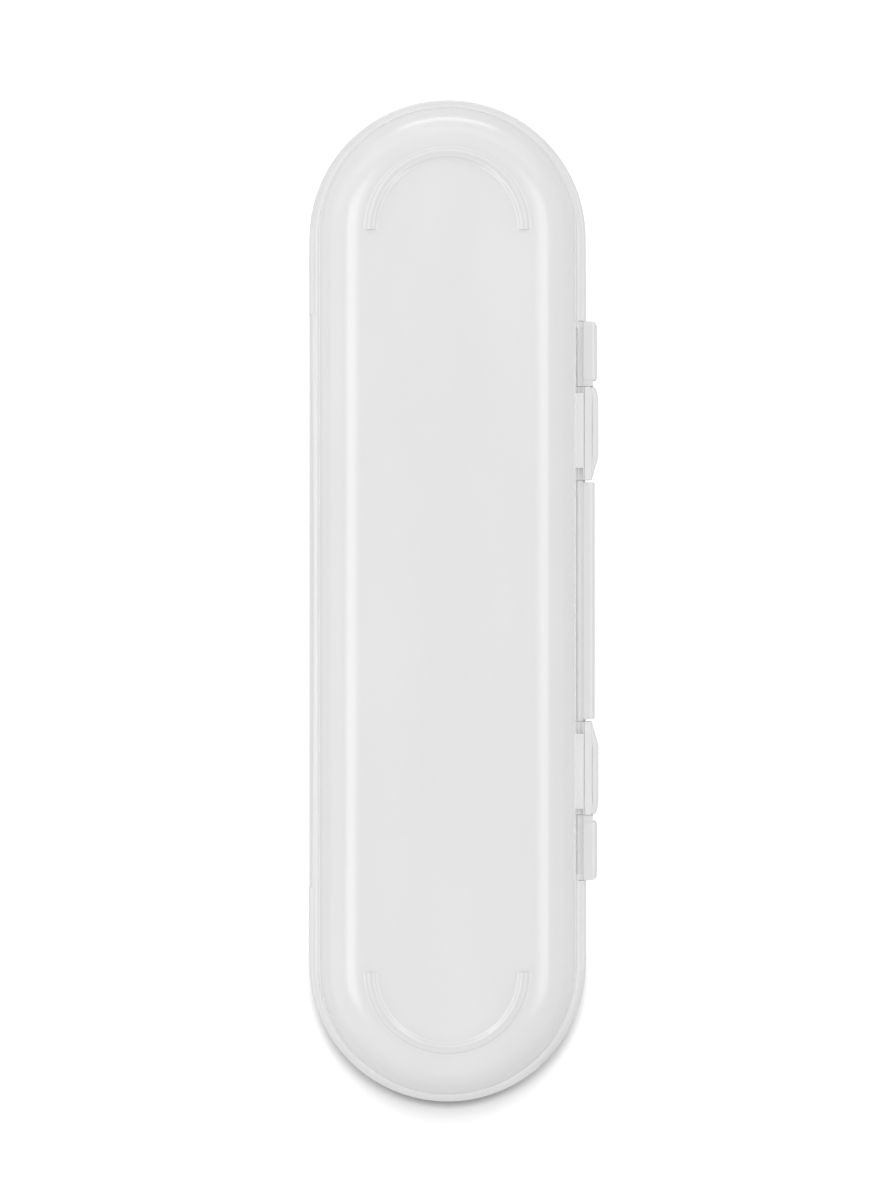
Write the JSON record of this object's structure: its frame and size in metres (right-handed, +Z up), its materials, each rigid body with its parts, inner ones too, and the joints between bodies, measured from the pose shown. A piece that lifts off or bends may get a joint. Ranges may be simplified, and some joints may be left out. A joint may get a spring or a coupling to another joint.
{
  "type": "travel cutlery case",
  "caption": "Frosted translucent capsule-shaped travel cutlery case that opens like a clam on a side hinge with clips and stub pins, with curved foot ridges on its lid.",
  "frame": {"origin": "centre of the base's flat underside, which the case lies on", "axes": "+X across the case, out through the hinge; +Y along the case; +Z up through the lid, with the case lying closed on its base"},
  "size_m": [0.0607, 0.21, 0.0258],
  "materials": {
    "frosted_base": "fine frosted translucent polypropylene",
    "frosted_lid": "fine frosted translucent polypropylene",
    "frosted_hinge": "smooth frosted translucent polypropylene",
    "frosted_clip": "smooth frosted translucent polypropylene"
  },
  "bodies": {
    "base": {"base_shell": "frosted_base", "base_lip": "frosted_base", "snap_bead": "frosted_base", "upper_knuckle": "frosted_hinge", "lower_knuckle": "frosted_hinge", "center_rail": "frosted_hinge", "upper_hinge_pin": "frosted_hinge", "lower_hinge_pin": "frosted_hinge"},
    "lid": {"lid_shell": "frosted_lid", "upper_hinge_clip": "frosted_clip", "lower_hinge_clip": "frosted_clip", "upper_foot_ridge": "frosted_lid", "lower_foot_ridge": "frosted_lid"}
  },
  "joints": [
    {"name": "lid_hinge", "type": "hinge", "parent": "base", "child": "lid", "pos_m": [0.0296, 0, 0.0129], "axis": [0, 1, 0], "range_deg": [0, 180]}
  ]
}
